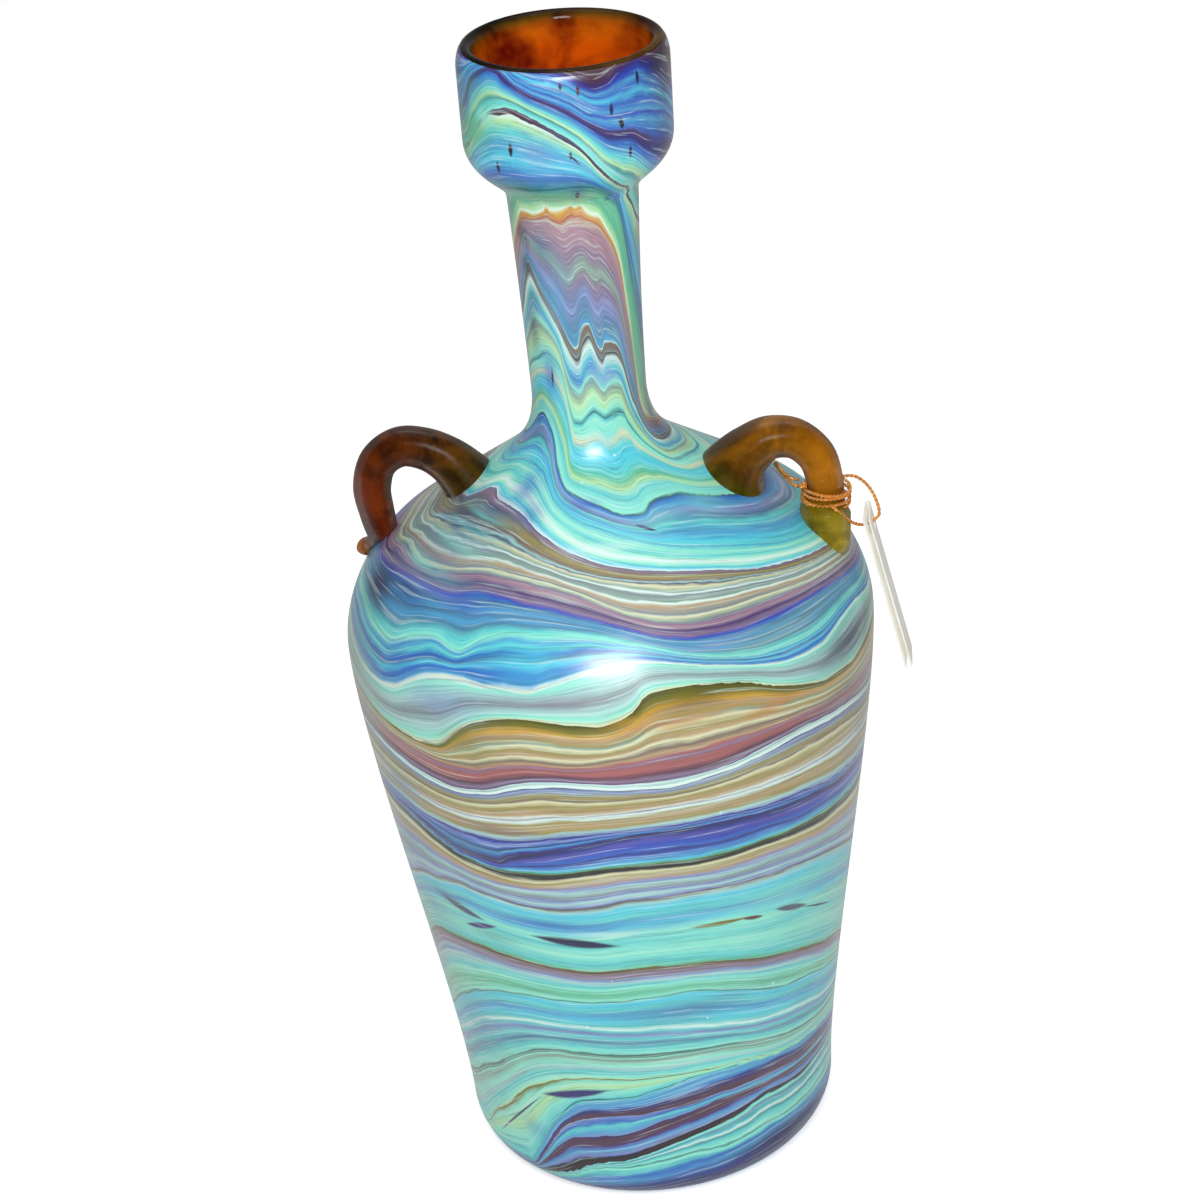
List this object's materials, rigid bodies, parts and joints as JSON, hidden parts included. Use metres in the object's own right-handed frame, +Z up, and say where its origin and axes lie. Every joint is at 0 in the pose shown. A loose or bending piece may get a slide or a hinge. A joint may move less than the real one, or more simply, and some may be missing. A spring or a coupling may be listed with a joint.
{
  "type": "vase",
  "caption": "Tall bottle vase of marbled blue-green glass over an amber bubble, cup-shaped mouth, slim neck, wide shoulder with small amber handles and a card tag on a thread",
  "frame": {"origin": "middle of the foot on the surface that the vase stands on", "axes": "+Z up along the vase's axis, +X out through the handle that carries the tag, +Y to the far side"},
  "size_m": [0.1227, 0.1146, 0.2605],
  "materials": {
    "amber_glass": "clear deep amber, fire-polished inside and at the rim, ground on the foot ring",
    "marbled_glass": "opaque drawn glass in combed bands of aqua, mint, blue, violet, ochre and grey, satin with a soft gloss",
    "gold_amber_glass": "satin translucent golden amber, olive where it spreads at the feet",
    "red_amber_glass": "satin translucent red amber with orange patches, olive at the upper foot",
    "copper_thread": "two-ply metallised thread, copper gold",
    "tag_card": "matt white card, blank"
  },
  "bodies": {
    "vase": {"amber_core": "amber_glass", "marbled_casing": "marbled_glass", "handle_right": "gold_amber_glass", "handle_left": "red_amber_glass", "thread_turn_upper": "copper_thread", "thread_turn_lower": "copper_thread", "thread_knot": "copper_thread", "thread_end_1": "copper_thread", "thread_end_2": "copper_thread"},
    "tag_thread": {"thread_loop": "copper_thread"},
    "tag": {"hang_tag": "tag_card"}
  },
  "joints": [
    {"name": "loop_swing", "type": "hinge", "parent": "vase", "child": "tag_thread", "pos_m": [0.0497, 0, 0.15726], "axis": [0, -1, 0], "range_deg": [-5, 50]},
    {"name": "tag_swing", "type": "hinge", "parent": "tag_thread", "child": "tag", "pos_m": [0.05763, 0, 0.15015], "axis": [0.9781, 0, 0.2079], "range_deg": [-30, 30]}
  ]
}
